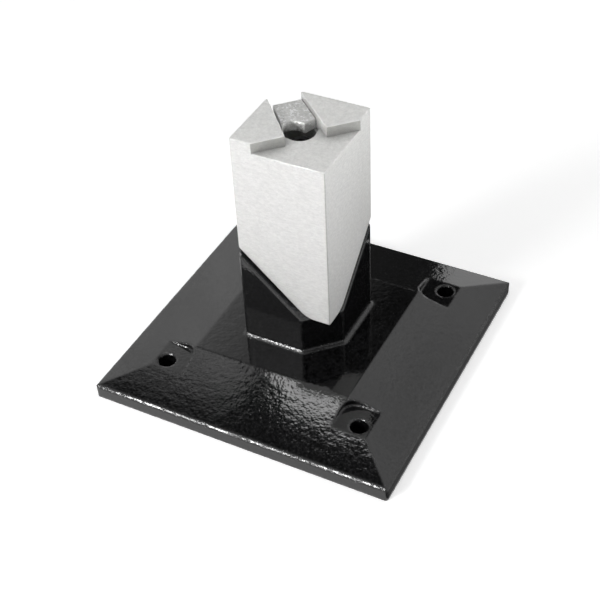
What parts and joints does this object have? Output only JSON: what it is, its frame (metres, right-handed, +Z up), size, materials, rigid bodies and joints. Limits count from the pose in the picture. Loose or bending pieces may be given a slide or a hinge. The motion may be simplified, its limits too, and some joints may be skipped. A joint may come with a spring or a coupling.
{
  "type": "surface mount post base",
  "caption": "Square cast floor plate with a slanted stub and a sliding wedge block that a draw bolt pulls down to grip the inside of a hollow square post.",
  "frame": {"origin": "centre of the plate's underside, on the surface that it is bolted to", "axes": "+Z up the post, +X and +Y along the plate's edges, the wedge working along the diagonal from (-X, +Y) down to (+X, -Y)"},
  "size_m": [0.1906, 0.1906, 0.1599],
  "materials": {
    "black_powder_coat": "gloss black powder coat over cast aluminium",
    "cast_aluminium": "as cast, finely blasted",
    "rough_aluminium": "as cast, rough",
    "black_oxide_steel": "black oxide, oiled",
    "plated_steel": "zinc plated"
  },
  "bodies": {
    "base": {"base": "black_powder_coat"},
    "wedge": {"wedge_block": "cast_aluminium", "keeper": "rough_aluminium"},
    "washer": {"washer": "plated_steel"},
    "bolt": {"draw_bolt": "black_oxide_steel"}
  },
  "joints": [
    {"name": "wedge_slide", "type": "slide", "parent": "base", "child": "wedge", "axis": [0.4285, -0.4285, -0.7955], "range_m": [0, 0.01104]},
    {"name": "bolt_draw", "type": "slide", "parent": "base", "child": "washer", "axis": [0, 0, -1], "range_m": [0, 0.0088]},
    {"name": "bolt_turn", "type": "hinge", "parent": "washer", "child": "bolt", "pos_m": [0, 0, 0.1412], "axis": [0, 0, -1], "range_deg": [0, 2530]}
  ],
  "couplings": [
    {"joint": "bolt_draw", "follows": "wedge_slide", "ratio": 0.79547},
    {"joint": "bolt_turn", "follows": "wedge_slide", "rad_per_m": 3998.5}
  ]
}
